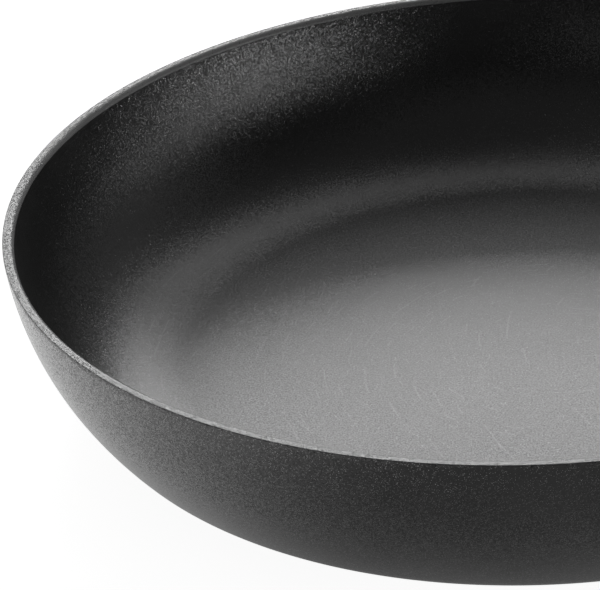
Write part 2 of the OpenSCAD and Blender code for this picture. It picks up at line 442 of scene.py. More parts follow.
# The non-stick coat: between two heights its grain and grit grow from the low to the high value
insideCoat = {
    "colour": (0.019, 0.019, 0.019),
    "light": (0.033, 0.033, 0.033),
    "fleck": (0.36, 0.36, 0.36),
    "scratch": (0.065, 0.065, 0.065),
    "roughness": (0.386, 0.3),
    "ior": 2.25,
    "grain": 2100.0,
    "tilts": (0.46, 0.15),
    "grits": (0.06, 0.30),
    "heights": (5, 20),
    "cells": 4300.0,
    "share": 0.1,
    "fleckTilt": 0.15,
    "strokes": [((0.008, -0.005, 0), 320.0, 0.6), ((0.095, 0, 0), 260.0, 0.62)],
}
outsideCoat = dict(insideCoat, colour=(0.008, 0.008, 0.008), light=(0.032, 0.032, 0.032),
                   fleck=(0.17, 0.17, 0.17), share=0.3, fleckTilt=0.32, roughness=(0.32, 0.25), ior=1.5,
                   grain=2900.0, cells=3400.0, tilts=(0.24, 0.52), grits=(0.04, 0.36), heights=(8, 30),
                   strokes=[])
# the rim's land and lip wear the same non-stick coat as inside, but with a far lighter colour: a painted
# highlight for the lamps they reflect
rimCoatPaintedLight = dict(outsideCoat, colour=(0.30, 0.30, 0.30), light=(0.37, 0.37, 0.37), roughness=(0.3, 0.24),
               fleck=(0.36, 0.36, 0.36), fleckTilt=0.25, cells=2800.0, share=0.12,
               tilts=(0.5, 0.36), grits=(0.17, 0.15), heights=(47.4, 49))


def coatMaterial(name, s):
    material, nodes, links, shader = newMaterial(name)
    place = objectPlace(nodes)
    z = splitPlace(nodes, links, place)["Z"]
    low, high = (height * mm for height in s["heights"])
    tilt = mapRange(nodes, links, z, low, high, *s["tilts"])
    grain = placeGroup(nodes, links, groups["grain"], place, Scale=s["grain"])
    links.new(tilt, grain.inputs["Tilt"])
    links.new(smoothNormal(nodes), grain.inputs["Normal"])
    flecks = placeGroup(nodes, links, groups["sparkle"], place,
                        Cells=s["cells"], Share=s["share"], Tilt=s["fleckTilt"])
    links.new(mapRange(nodes, links, z, low, high, *s["grits"]), flecks.inputs["Grit"])
    links.new(grain.outputs["Normal"], flecks.inputs["Normal"])
    colour = tonedColour(nodes, links, grain.outputs["Tone"], s)
    # strokes only show on the cooking floor
    level = mapRange(nodes, links, z, low, high, 1, 0)
    for centre, rings, share in s["strokes"]:
        scratch = placeGroup(nodes, links, groups["scratches"], place,
                             Centre=centre, Rings=rings, Share=share)
        shown = mathNode(nodes, links, "MULTIPLY", scratch.outputs["Mask"], level)
        colour = mixColour(nodes, links, shown, colour, s["scratch"])
    colour = mixColour(nodes, links, flecks.outputs["Mask"], colour, s["fleck"])
    links.new(colour, shader.inputs["Base Color"])
    links.new(flecks.outputs["Mask"], shader.inputs["Metallic"])
    links.new(flecks.outputs["Normal"], shader.inputs["Normal"])
    links.new(mapRange(nodes, links, z, low, high, *s["roughness"]), shader.inputs["Roughness"])
    shader.inputs["IOR"].default_value = s["ior"]
    return material


def lineMaterial(name, s, place=None, lines="turned"):
    # a metal finished by a tool that leaves fine lines
    material, nodes, links, shader = newMaterial(name)
    spot = objectPlace(nodes)
    if place is not None:
        spot = placeIn(nodes, links, spot, place)
    key, value = ("Pitch", s["pitch"]) if lines == "turned" else ("Stretch", s["stretch"])
    marks = placeGroup(nodes, links, groups[lines], spot, **{key: value})
    links.new(tonedColour(nodes, links, marks.outputs["Tone"], s), shader.inputs["Base Color"])
    gloss = noiseRange(nodes, links, marks.outputs["Height"], *s["roughness"])
    links.new(gloss, shader.inputs["Roughness"])
    shader.inputs["Metallic"].default_value = 1
    links.new(bumpNode(nodes, links, marks.outputs["Height"], s["bump"], s["depth"]), shader.inputs["Normal"])
    return material


panShape = {
    "rim": 140,
    "height": 49,
    "wallArc": 81,
    "rimSlope": 84,
    "baseEdge": 12,
    "wall": 3,
    "floor": 4.6,
    "floorCurve": 42,
    "bandHeight": 0.52,
    "bandInset": 0.12,
    "edgeRound": 0.14,
    "landWidth": 1.25,
    "landLean": 0.05,
    "keep": 0.05,
    "keepDrop": 0.002,
    "lipHeight": 1.4,
    "discRadius": 92.05,
    "discDepth": 0.84,
    "lookDown": 20,
    "turns": 320,
    "baseSteps": 14,
    "outerSteps": 48,
    "edgeSteps": 6,
    "lipSteps": 12,
    "innerSteps": 16,
    "floorSteps": 48,
}


def wallCentre(s):
    slope = math.radians(s["rimSlope"])
    return s["rim"] - s["wallArc"] * math.sin(slope), s["height"] + s["wallArc"] * math.cos(slope)


def panOutline(s):
    centreR, centreZ = wallCentre(s)
    edge = s["baseEdge"]
    baseR = centreR + math.sqrt((s["wallArc"] - edge) ** 2 - (centreZ - edge) ** 2)
    join = math.degrees(math.atan2(baseR - centreR, centreZ - edge))
    bandZ = s["height"] - s["bandHeight"]
    bandSlope = math.acos((centreZ - bandZ) / s["wallArc"])
    points = [(0, s["discDepth"]), (s["discRadius"], s["discDepth"]), (s["discRadius"], 0)]
    points += arcPoints(baseR, edge, edge, 0, join, s["baseSteps"])
    points += arcPoints(centreR, centreZ, s["wallArc"], join, math.degrees(bandSlope), s["outerSteps"])[1:]
    # a narrow band that leans in, the rounded outer edge, and the level land of the rim
    curl = s["edgeRound"]
    edgeR = centreR + s["wallArc"] * math.sin(bandSlope) - s["bandInset"] - curl
    points += arcPoints(edgeR, s["height"] - curl, curl, 90, 180, s["edgeSteps"])
    # points close to both ends keep the land's shading even
    keep, drop = s["keep"], s["keepDrop"]
    landR, landZ = edgeR - s["landWidth"], s["height"] - s["landLean"]
    points += [(edgeR - keep, s["height"] - drop), (landR + keep, landZ + drop), (landR, landZ)]
    # the rounded lip, and the wall inside it
    lipZ = s["height"] - s["lipHeight"]
    innerArc = s["wallArc"] - s["wall"]
    lipSlope = math.degrees(math.acos((centreZ - lipZ) / innerArc))
    lipR = centreR + innerArc * math.sin(math.radians(lipSlope))
    points += arcPoints(landR, lipZ, landR - lipR, 180, 270, s["lipSteps"], landZ - lipZ)[1:]
    floorZ = s["floor"] + s["floorCurve"]
    floorR = centreR + math.sqrt((innerArc - s["floorCurve"]) ** 2 - (centreZ - floorZ) ** 2)
    floorJoin = math.degrees(math.atan2(floorR - centreR, centreZ - floorZ))
    points += arcPoints(centreR, centreZ, innerArc, lipSlope, floorJoin, s["innerSteps"])[1:]
    points += arcPoints(floorR, floorZ, s["floorCurve"], floorJoin, 0, s["floorSteps"])[1:]
    points += [(floorR * share, s["floor"]) for share in (0.75, 0.5, 0.25, 0)]
    return points


def makePanBody(s):
    body = turnOutline(panOutline(s), s["turns"])
    settle(body, "panBody", "nonstick_body", coatMaterial("insideCoat", insideCoat), "pan_body")
    body.data.materials.append(coatMaterial("outsideCoat", outsideCoat))
    body.data.materials.append(lineMaterial("turnedBase", baseFinish))
    body.data.materials.append(coatMaterial("rimCoatPaintedLight", rimCoatPaintedLight))
    outsideIndex, baseIndex, rimPaintedLightIndex = 1, 2, 3
    for face in body.data.polygons:
        # the part that points down counts the base as outside too
        centre = face.center / mm
        outwards = face.normal.dot(Vector((centre.x, centre.y, -s["lookDown"]))) > 0
        if outwards:
            face.material_index = outsideIndex
        # the land and the lip take the rim coat, the inside coat painted lighter as a painted highlight
        if centre.z > s["height"] - (s["edgeRound"] / 2 if outwards else s["lipHeight"]):
            face.material_index = rimPaintedLightIndex
        if centre.z < s["discDepth"] + 0.01 and face.normal.z < -0.999:
            face.material_index = baseIndex
    print("pan body turned")
    return body


baseFinish = {
    "colour": (0.60, 0.60, 0.61),
    "light": (0.70, 0.70, 0.71),
    "roughness": (0.22, 0.42),
    "pitch": 3500.0,
    "bump": 0.35,
    "depth": 0.02,
}
body = makePanBody(panShape)


# The handle's own frame: X along the handle from the wall at the rivets, Z across its top
handleShape = {
    "rivetZ": 32,
    "rise": 18,
    "length": 208,
    "bow": 2.4,
    "start": 43.04,
    "rivetY": 15,
    "rivetRadius": 3,
    "screwX": 66,
    "holeBack": 27,
    "holeGap": 0.05,
    "seatGap": 0.15,
    "innerSeat": -2.72,
    "outerSeat": 3.5,
    "headRadius": 6.5,
    "headHeight": 1.9,
    "setRadius": 5.2,
    "setHeight": 1.7,
    "underEdge": 0.12,
    "cutterReach": 9,
    "rivetTurns": 64,
}


def wallAtRivets(pan, handle):
    centreR, centreZ = wallCentre(pan)
    slope = math.acos((centreZ - handle["rivetZ"]) / pan["wallArc"])
    return centreR + pan["wallArc"] * math.sin(slope), slope


wallX, rivetSlope = wallAtRivets(panShape, handleShape)
handlePlace = (Matrix.Translation((wallX * mm, 0, handleShape["rivetZ"] * mm))
               @ Matrix.Rotation(-math.radians(handleShape["rise"]), 4, "Y"))


def rivetPlace(side, s):
    turn = math.asin(s["rivetY"] / wallX)
    return (Matrix.Rotation(side * turn, 4, "Z")
            @ Matrix.Translation((wallX * mm, 0, s["rivetZ"] * mm))
            @ Matrix.Rotation(math.pi - rivetSlope, 4, "Y"))


def bowAt(x, s=handleShape):
    # height of the grip's middle line, and its slope in radians
    middle = (s["start"] + s["length"]) / 2
    half = (s["length"] - s["start"]) / 2
    t = (x - middle) / half
    return s["bow"] * (1 - t * t), math.atan(-2 * s["bow"] * t / half)


def addRod(radius, low, high, place, vertices=64):
    # a plain round cutter along the local Z of place, in millimetres
    bpy.ops.mesh.primitive_cylinder_add(vertices=vertices, radius=radius * mm, depth=(high - low) * mm)
    rod = bpy.context.object
    rod.matrix_world = place @ Matrix.Translation((0, 0, (low + high) / 2 * mm))
    return rod


def addBlock(low, high, place):
    size = Vector(high) - Vector(low)
    bpy.ops.mesh.primitive_cube_add(size=1)
    block = bpy.context.object
    middle = (Vector(high) + Vector(low)) / 2 * mm
    block.matrix_world = place @ Matrix.Translation(middle) @ Matrix.Diagonal((*(size * mm), 1))
    return block


def joinPieces(pieces):
    deselectAll()
    for piece in pieces:
        piece.select_set(True)
    bpy.context.view_layer.objects.active = pieces[0]
    bpy.ops.object.join()
    return pieces[0]


def drillRivets(body, s):
    # each cutter is the rivet's hole with the flat seat of its inner head
    hole, seat = s["rivetRadius"] + s["holeGap"], s["headRadius"] + s["seatGap"]
    flat, end = s["innerSeat"], s["cutterReach"]
    outline = [(0, -end), (seat, -end), (seat, flat), (hole, flat), (hole, end), (0, end)]
    cutters = []
    for side in (-1, 1):
        cutter = turnOutline(outline, s["rivetTurns"])
        cutter.matrix_world = rivetPlace(side, s)
        cutters.append(cutter)
    cutAway(body, joinPieces(cutters))


drillRivets(body, handleShape)
smoothByAngle(body)


def evenAngles(count):
    return [math.tau * i / count for i in range(count)]


def roundedSection(width, height, power, angles):
    # points of a section that is fuller than an ellipse
    points = []
    for angle in angles:
        c, t = math.cos(angle), math.sin(angle)
        points.append((width / 2 * math.copysign(abs(c) ** (2 / power), c),
                       height / 2 * math.copysign(abs(t) ** (2 / power), t)))
    return points


def loft(sections, angles, power=2.5):
    # a filled ring is shaped, then extruded from one section (x, z, width, height) to the next
    bpy.ops.mesh.primitive_circle_add(vertices=len(angles), radius=mm, fill_type="NGON")
    piece = bpy.context.object
    x0, z0, w0, h0 = sections[0]
    for vertex, (y, z) in zip(piece.data.vertices, roundedSection(w0, h0, power, angles)):
        vertex.co = Vector((x0, y, z0 + z)) * mm
    editMode(piece)
    bpy.ops.mesh.select_all(action="SELECT")
    for x1, z1, w1, h1 in sections[1:]:
        step = ((x1 - x0) * mm, 0, (z1 - z0) * mm)
        bpy.ops.mesh.extrude_region_move(TRANSFORM_OT_translate={"value": step})
        bpy.ops.transform.resize(value=(1, w1 / w0, h1 / h0), center_override=(x1 * mm, 0, z1 * mm))
        x0, z0, w0, h0 = x1, z1, w1, h1
    bpy.ops.object.mode_set(mode="OBJECT")
    return piece


def smoothThrough(knots, x):
    # a smooth curve through (x, value) knots
    last = len(knots) - 1
    i = max(k for k in range(last) if knots[k][0] <= x or k == 0)
    slopes = []
    for k in (i, i + 1):
        a, b = knots[max(k - 1, 0)], knots[min(k + 1, last)]
        slopes.append((b[1] - a[1]) / (b[0] - a[0]))
    (xa, ya), (xb, yb) = knots[i], knots[i + 1]
    t = (x - xa) / (xb - xa)
    rise = (yb - ya) * t * t * (3 - 2 * t)
    return ya + rise + (xb - xa) * t * (1 - t) * (slopes[0] * (1 - t) - slopes[1] * t)


gripShape = {
    "widths": [(43.04, 27.2), (72, 24.6), (110, 26.6), (152, 30.4), (194, 29.8)],
    "heights": [(43.04, 21.2), (72, 21), (110, 20.6), (152, 17), (194, 14.7)],
    "edge": 0.5,
    "endLength": 14,
    "endPower": 2.05,
    "steps": 30,
    "endSteps": 8,
    "endShare": 0.06,
    "spigotIn": 3.4,
    "spigotLength": 6,
    "spigotEdge": 0.3,
    "seam": 0.22,
    "seamSpread": 1.3,
    "around": 40,
    "screwSeat": -5.8,
    "screwBore": 2.7,
    "counterbore": 4.8,
    "tongue": (84, 12, 6),
    "socketGap": 0.12,
    "socketEnd": 1,
    "eyeGap": 0.05,
    "flangeGap": 0.1,
    "flangeSeat": 0.04,
    "flangeTurns": 96,
    "cutterReach": 20,
}


def gripAngles(s):
    # even steps round the section, with close ones on both sides of the mould's seam
    angles = evenAngles(s["around"])
    spread = math.radians(s["seamSpread"])
    for side in (0, math.pi):
        angles += [side + k * spread for k in (-2, -1, 1, 2)]
    return sorted(angle % math.tau for angle in angles)


def gripSections(s):
    start, end = handleShape["start"], handleShape["length"]
    edge, spigotEdge, level = s["edge"], s["spigotEdge"], bowAt(start)[0]
    w0, h0 = s["widths"][0][1], s["heights"][0][1]
    # how far along, and how much smaller than the full section: the spigot, then the edge of the grip
    steps = [(-s["spigotLength"], s["spigotIn"] + 2 * spigotEdge),
             (-s["spigotLength"] + spigotEdge, s["spigotIn"]),
             (0, s["spigotIn"]), (0, 2 * edge), (0.3 * edge, 0.6 * edge)]
    sections = [(start + along, level, w0 - less, h0 - less) for along, less in steps]
    bodyEnd = end - s["endLength"]
    for i in range(s["steps"] + 1):
        x = start + edge + (bodyEnd - start - edge) * i / s["steps"]
        sections.append((x, bowAt(x)[0], smoothThrough(s["widths"], x), smoothThrough(s["heights"], x)))
    _, _, width, height = sections[-1]
    for i in range(1, s["endSteps"] + 1):
        t = math.sin(math.pi / 2 * i / s["endSteps"])
        share = max((1 - t ** s["endPower"]) ** (1 / s["endPower"]), s["endShare"])
        x = bodyEnd + s["endLength"] * t
        sections.append((x, bowAt(x)[0], width * share, height * share))
    return sections


def makeGrip(s):
    angles = gripAngles(s)
    grip = loft(gripSections(s), angles)
    # the seam runs along both sides, where the two halves of the mould met
    for vertex in grip.data.vertices:
        x, y, z = vertex.co / mm
        if x > handleShape["start"] + s["edge"] and abs(z - bowAt(x)[0]) < 0.01:
            vertex.co.y -= math.copysign(s["seam"] * mm, y)
    cleanNormals(grip)
    applyModifier(grip, "SUBSURF", levels=1, render_levels=1)
    end, width, height = s["tongue"]
    gap, reach = s["socketGap"], s["cutterReach"]
    socket = (end + s["socketEnd"], width / 2 + gap, height / 2 + gap)
    screw = Matrix.Translation((handleShape["screwX"] * mm, 0, 0))
    cutAway(grip, addBlock((0, -socket[1], -socket[2]), socket, Matrix.Identity(4)))
    cutAway(grip, addRod(s["screwBore"], -reach, 0, screw))
    cutAway(grip, addRod(s["counterbore"], -reach, s["screwSeat"], screw))
    eye = eyeletPlace(handleShape)
    e = eyeletShape
    cutAway(grip, addRod(e["radius"] + e["wall"] + s["eyeGap"], -reach, reach, eye))
    for side in (0, math.pi):
        turned = eye @ Matrix.Rotation(side, 4, "X")
        low = e["half"] - e["flangeThick"] - s["flangeSeat"]
        cutAway(grip, addRod(e["flange"] + s["flangeGap"], low, reach, turned, s["flangeTurns"]))
    grip.matrix_world = handlePlace
    settle(grip, "mouldedGrip", "grip_phenolic", phenolicMaterial(gripFinish), "grip", angle=32)
    print("grip made")


eyeletShape = {
    "radius": 6.5,
    "wall": 0.8,
    "flange": 8.9,
    "flangeThick": 0.9,
    "half": 8.1,
    "roll": 0.45,
    "mouth": 1.2,
    "mouthSteps": 8,
    "rollSteps": 10,
    "turns": 72,
}


def eyeletPlace(s):
    x = s["length"] - s["holeBack"]
    height, slope = bowAt(x)
    return Matrix.Translation((x * mm, 0, height * mm)) @ Matrix.Rotation(-slope, 4, "Y")


def makeEyelet(s):
    # half of the outline: down the bore, round the rolled flange, and back up the outside
    r, half, roll, mouth = s["radius"], s["half"], s["roll"], s["mouth"]
    outer = r + s["wall"]
    upper = [(r, 0)] + arcPoints(r + mouth, half - mouth, mouth, 270, 180, s["mouthSteps"])
    upper += arcPoints(s["flange"] - roll, half - roll, roll, 180, 0, s["rollSteps"])
    upper += [(outer, half - s["flangeThick"]), (outer, 0)]
    lower = [(x, -z) for x, z in reversed(upper)]
    eyelet = turnOutline(upper + lower[1:], s["turns"])
    place = handlePlace @ eyeletPlace(handleShape)
    eyelet.matrix_world = place
    settle(eyelet, "hangingEyelet", "eyelet_steel",
           lineMaterial("eyeletSteel", eyeletFinish, place), "hanging_eyelet", angle=40)


guardShape = {
    "start": 15,
    "end": 43,
    "wall": 0.8,
    "front": (21.5, 15.5),
    "back": (27.2, 21.2),
    "edge": 1.6,
    "edgeSteps": 6,
    "steps": 8,
    "neck": (17, 11),
    "neckGap": 0.05,
    "neckReach": 5,
    "burr": 0.15,
    "burrAngle": 50,
    "around": 48,
}


def makeGuard(s):
    start, end, edge = s["start"], s["end"], s["edge"]
    (w0, h0), (w1, h1) = s["front"], s["back"]
    sections = [(start, 0, w0 - 2 * edge, h0 - 2 * edge)]
    for i in range(1, s["edgeSteps"] + 1):
        turn = math.pi / 2 * i / s["edgeSteps"]
        share = (1 - math.cos(turn)) * edge / (end - start)
        inset = 2 * edge * (1 - math.sin(turn))
        sections.append((start + edge * (1 - math.cos(turn)), 0,
                         w0 + (w1 - w0) * share - inset, h0 + (h1 - h0) * share - inset))
    for i in range(1, s["steps"] + 1):
        x = start + edge + (end - start - edge) * i / s["steps"]
        share = (x - start) / (end - start)
        sections.append((x, 0, w0 + (w1 - w0) * share, h0 + (h1 - h0) * share))
    guard = loft(sections, evenAngles(s["around"]))
    deleteFaces(guard, lambda centre: centre.x > (end - 0.01) * mm)
    cleanNormals(guard)
    applyModifier(guard, "SOLIDIFY", thickness=s["wall"] * mm, offset=-1)
    width, height = (size / 2 + s["neckGap"] for size in s["neck"])
    corner = (start + s["neckReach"], width, height)
    cutAway(guard, addBlock((0, -width, -height), corner, Matrix.Identity(4)))
    applyModifier(guard, "BEVEL", width=s["burr"] * mm, segments=2, limit_method="ANGLE",
                  angle_limit=math.radians(s["burrAngle"]))
    guard.matrix_world = handlePlace
    settle(guard, "flameGuard", "guard_steel",
           lineMaterial("guardSteel", guardFinish, handlePlace, "brushed"), "flame_guard")
    print("flame guard made")


def domePoints(radius, height, base, steps=10, edge=0.25, shoulder=0.1):
    # from the axis out to the rim of a low dome that stands on base; a negative height points down
    ball = (radius * radius + height * height) / (2 * abs(height))
    side = math.copysign(1, height)
    points = []
    for i in range(steps + 1):
        r = (radius - shoulder) * i / steps
        points.append((r, base + height - side * (ball - math.sqrt(ball * ball - r * r))))
    points.append((radius, base + side * edge))
    return points


def makeRivets(s):
    shank, edge, inner, outer = s["rivetRadius"], s["underEdge"], s["innerSeat"], s["outerSeat"]
    head, setHead = s["headRadius"], s["setRadius"]
    outline = domePoints(head, -s["headHeight"], inner)
    outline += [(head - edge, inner), (shank, inner), (shank, outer), (setHead - edge, outer)]
    outline += domePoints(setHead, s["setHeight"], outer)[::-1]
    rivets = []
    for side in (-1, 1):
        rivet = turnOutline(outline, s["rivetTurns"])
        rivet.matrix_world = rivetPlace(side, s)
        rivets.append(rivet)
    settle(joinPieces(rivets), "bracketRivets", "rivet_aluminium",
           rivetMaterial(rivetFinish), "bracket_rivets")


screwShape = {
    "seat": -5.8,
    "washer": 1,
    "washerRadius": 4.1,
    "washerGap": 0.15,
    "washerEdge": 0.12,
    "gap": 0.04,
    "headEdge": [(0.5, 0), (0.2, 0.08), (0.05, 0.25), (0, 0.5)],
    "headTop": 0.1,
    "endEdge": 0.3,
    "headRadius": 4.25,
    "headHeight": 2.3,
    "radius": 2.45,
    "end": 2.6,
    "keyRadius": 1.75,
    "keyDepth": 1.3,
    "keySides": 6,
    "slot": 0.9,
    "turns": 64,
}
screwPlace = handlePlace @ Matrix.Translation((handleShape["screwX"] * mm, 0, 0))


def makeScrew(s):
    top = s["seat"] - s["washer"] - 2 * s["gap"]
    low = top - s["headHeight"]
    r = s["headRadius"]
    shank, end, edge = s["radius"], s["end"], s["endEdge"]
    outline = [(0, low)] + [(r - less, low + up) for less, up in s["headEdge"]]
    outline += [(r, top - s["headTop"]), (r - s["headTop"], top), (shank, top), (shank, end - edge),
                (shank - edge, end), (0, end)]
    screw = turnOutline(outline, s["turns"])
    key = addRod(s["keyRadius"], low - 1, low + s["keyDepth"], Matrix.Identity(4), s["keySides"])
    cutAway(screw, key)
    dropSlivers(screw)
    screw.matrix_world = screwPlace
    settle(screw, "gripScrew", "screw_steel",
           lineMaterial("screwSteel", screwFinish, screwPlace), "grip_screw")


def makeWasher(s):
    high = s["seat"] - s["gap"]
    low = high - s["washer"]
    inner, outer, edge = s["radius"] + s["washerGap"], s["washerRadius"], s["washerEdge"]
    outline = [(inner, low + edge), (inner + edge, low), (outer - edge, low), (outer, low + edge),
               (outer, high - edge), (outer - edge, high), (inner + edge, high), (inner, high - edge)]
    washer = turnOutline(outline + outline[:1], s["turns"])
    cutAway(washer, addBlock((0, -s["slot"] / 2, low - 1), (outer * 2, s["slot"] / 2, high + 1),
                             Matrix.Identity(4)))
    washer.matrix_world = screwPlace
    settle(washer, "lockWasher", "washer_steel",
           lineMaterial("washerSteel", washerFinish, screwPlace), "lock_washer")


bracketShape = {
    "flare": [(3.4, 19, 15.2), (4.6, 18.8, 14.6), (5.8, 18.3, 13.4), (7.2, 17.7, 12.2), (9, 17.2, 11.4),
              (12, 17, 11)],
    "straight": (6, 12),
    "power": 4,
    "around": 48,
    "weld": 0.002,
    "voxel": 0.45,
    "soften": 0.5,
    "rounds": 9,
}


def makeBracket(s):
    # the CAD piece's own shape, with a flare where the neck leaves the pad, cast in one
    source = bpy.data.objects["handle_bracket"]
    bracket = bpy.data.objects.new("bracketCopy", source.data.copy())
    bpy.context.collection.objects.link(bracket)
    cleanNormals(bracket, s["weld"] * mm)
    flare = loft([(x, 0, w, h) for x, w, h in s["flare"]], evenAngles(s["around"]), s["power"])
    # its first rings lie along the pad, which leans against the handle's line
    leaning = 1 / math.tan(rivetSlope - math.radians(handleShape["rise"]))
    low, high = s["straight"]
    for vertex in flare.data.vertices:
        share = min(max((high - vertex.co.x / mm) / (high - low), 0), 1)
        vertex.co.x += vertex.co.z * leaning * share
    cleanNormals(flare)
    flare.matrix_world = handlePlace
    bracket = joinPieces([bracket, flare])
    applyModifier(bracket, "REMESH", mode="VOXEL", voxel_size=s["voxel"] * mm)
    applyModifier(bracket, "SMOOTH", factor=s["soften"], iterations=s["rounds"])
    settle(bracket, "handleBracket", "bracket_aluminium",
           castMaterial(castFinish), "handle_bracket", angle=180)
    print("bracket made")


discShape = {
    "radius": 92,
    "thick": 0.8,
    "holeRadius": 3,
    "ringStep": 15,
    "rings": 5,
    "holesFirst": 12,
    "holesMore": 8,
    "edge": 0.12,
    "turns": 192,
    "holeTurns": 24,
    "studHigh": 0.04,
    "studGap": 0.03,
    "studMiddle": 0.05,
    "studFace": [(0.7, 0.03), (0.25, 0), (0, 0.1)],
    "studTurns": 20,
}


def discHoles(s):
    for ring in range(1, s["rings"] + 1):
        count = s["holesFirst"] + s["holesMore"] * (ring - 1)
        radius = ring * s["ringStep"] + s["holeRadius"]
        for i in range(count):
            angle = math.tau * (i + ring / 2) / count
            yield radius * math.cos(angle), radius * math.sin(angle)


def copyAlong(first, places):
    # one joined piece of copies of the first, each with its own mesh
    copies = []
    for x, y in places:
        copy = first.copy()
        copy.data = first.data.copy()
        copy.location = (x * mm, y * mm, 0)
        bpy.context.collection.objects.link(copy)
        copies.append(copy)
    bpy.data.objects.remove(first)
    return joinPieces(copies)


def makeDisc(s):
    r, thick, edge, hole = s["radius"], s["thick"], s["edge"], s["holeRadius"]
    disc = turnOutline([(0, 0), (r - edge, 0), (r, edge), (r, thick), (0, thick)], s["turns"])
    # the cutter opens a little at the face, which leaves each hole a broken edge
    flare = [(0, -1), (hole + 1 + edge, -1), (hole, edge), (hole, thick + 1), (0, thick + 1)]
    cutAway(disc, copyAlong(turnOutline(flare, s["holeTurns"]), discHoles(s)))
    dropSlivers(disc)
    settle(disc, "inductionDisc", "disc_steel",
           lineMaterial("discSteel", discFinish), "induction_disc", angle=30)
    print("induction disc made")


def makeStuds(s):
    # the aluminium that was pressed through the disc's holes, a little below its face
    r, low, top = s["holeRadius"] - s["studGap"], s["studHigh"], s["thick"]
    outline = [(0, low + s["studMiddle"])] + [(r - less, low + up) for less, up in s["studFace"]]
    outline += [(r, top), (0, top)]
    studs = copyAlong(turnOutline(outline, s["studTurns"]), discHoles(s))
    settle(studs, "baseStuds", "rivet_aluminium", lineMaterial("studAluminium", studFinish))
    print("base studs made")


gripFinish = {
    "colour": (0.010, 0.010, 0.010),
    "light": (0.019, 0.019, 0.018),
    "roughness": (0.34, 0.46),
    "ior": 1.6,
    "grain": 1700.0,
    "tilt": 0.16,
    "flow": (30.0, 260.0, 260.0),
    "flowBump": 0.06,
    "flowDepth": 0.05,
}
guardFinish = {
    "colour": (0.56, 0.56, 0.55),
    "light": (0.66, 0.66, 0.65),
    "roughness": (0.17, 0.33),
    "stretch": (3800.0, 25.0, 25.0),
    "bump": 0.25,
    "depth": 0.012,
}
rivetFinish = dict(baseFinish, roughness=(0.26, 0.44), pitch=4200.0, bump=0.3, depth=0.012)
studFinish = dict(baseFinish, roughness=(0.3, 0.48))
eyeletFinish = dict(baseFinish, colour=(0.56, 0.56, 0.55), light=(0.66, 0.66, 0.65), roughness=(0.14, 0.3),
                    pitch=5000.0, bump=0.25, depth=0.01)
screwFinish = dict(eyeletFinish, roughness=(0.2, 0.36), pitch=4500.0, bump=0.35)
washerFinish = dict(screwFinish, colour=(0.46, 0.46, 0.46), light=(0.54, 0.54, 0.54), roughness=(0.28, 0.42))
discFinish = dict(baseFinish, colour=(0.50, 0.50, 0.50), light=(0.60, 0.60, 0.60), roughness=(0.22, 0.4),
                  pitch=3000.0, bump=0.4)
castFinish = {
    "colour": (0.52, 0.52, 0.53),
    "light": (0.64, 0.64, 0.65),
    "pitShade": (0.30, 0.30, 0.31),
    "roughness": (0.36, 0.5),
    "grain": 1900.0,
    "tilt": 0.55,
    "cells": 900.0,
    "share": 0.05,
    "pitTilt": 0.6,
}


def rivetMaterial(s):
    # both rivets are read as the one on the +Y side
    material = lineMaterial("rivetAluminium", s, rivetPlace(1, handleShape))
    nodes, links = material.node_tree.nodes, material.node_tree.links
    mapping = next(node for node in nodes if node.type == "MAPPING")
    x, y, z = splitPlace(nodes, links, mapping.inputs["Vector"].links[0].from_socket)
    folded = combinePlace(nodes, links, x, mathNode(nodes, links, "ABSOLUTE", y), z)
    links.new(folded, mapping.inputs["Vector"])
    return material


def castMaterial(s):
    # a blasted casting: a fine dull skin with a few small pits, painted darker as painted shade
    material, nodes, links, shader = newMaterial("castAluminium")
    place = objectPlace(nodes)
    grain = placeGroup(nodes, links, groups["grain"], place, Scale=s["grain"], Tilt=s["tilt"])
    links.new(smoothNormal(nodes), grain.inputs["Normal"])
    pits = placeGroup(nodes, links, groups["sparkle"], place,
                      Cells=s["cells"], Share=s["share"], Tilt=s["pitTilt"])
    links.new(grain.outputs["Normal"], pits.inputs["Normal"])
    skin = tonedColour(nodes, links, grain.outputs["Tone"], s)
    # the pits' darker colour is painted shade
    links.new(mixColour(nodes, links, pits.outputs["Mask"], skin, s["pitShade"]), shader.inputs["Base Color"])
    links.new(noiseRange(nodes, links, grain.outputs["Tone"], *s["roughness"]), shader.inputs["Roughness"])
    links.new(pits.outputs["Normal"], shader.inputs["Normal"])
    shader.inputs["Metallic"].default_value = 1
    return material


def phenolicMaterial(s):
    # a matt moulding: fine skin, slow clouds of gloss, and faint flow lines along the grip
    material, nodes, links, shader = newMaterial("phenolic")
    place = objectPlace(nodes)
    along = placeIn(nodes, links, place, handlePlace)
    flow = placeGroup(nodes, links, groups["brushed"], along, Stretch=s["flow"])
    raised = bumpNode(nodes, links, flow.outputs["Height"], s["flowBump"], s["flowDepth"])
    grain = placeGroup(nodes, links, groups["grain"], place, Scale=s["grain"], Tilt=s["tilt"])
    links.new(raised, grain.inputs["Normal"])
    links.new(tonedColour(nodes, links, grain.outputs["Tone"], s), shader.inputs["Base Color"])
    gloss = noiseRange(nodes, links, grain.outputs["Tone"], *s["roughness"], middle=0.3)
    links.new(gloss, shader.inputs["Roughness"])
    links.new(grain.outputs["Normal"], shader.inputs["Normal"])
    shader.inputs["IOR"].default_value = s["ior"]
    return material


makeRivets(handleShape)
makeBracket(bracketShape)
makeGuard(guardShape)
makeGrip(gripShape)
makeEyelet(eyeletShape)
makeScrew(screwShape)
makeWasher(screwShape)
makeDisc(discShape)
makeStuds(discShape)

# Stage: a white floor, which keeps a soft shadow, and white all round for the camera
stage = {
    "direct": 0.93,
    # gloss rays see the floor with a painted shade in front of the pan and painted light on both sides of it
    "glossPaintedShade": 0.35,  # how bright the coat sees the floor in front of the pan
    "glossPaintedLight": 1.4,  # and on both sides of it
    "sideFrom": 0.045,
    "sideTo": 0.19,
    "ambient": 0.005,
    "size": 40,
    "below": 0.4,
    "white": 0.8,
}
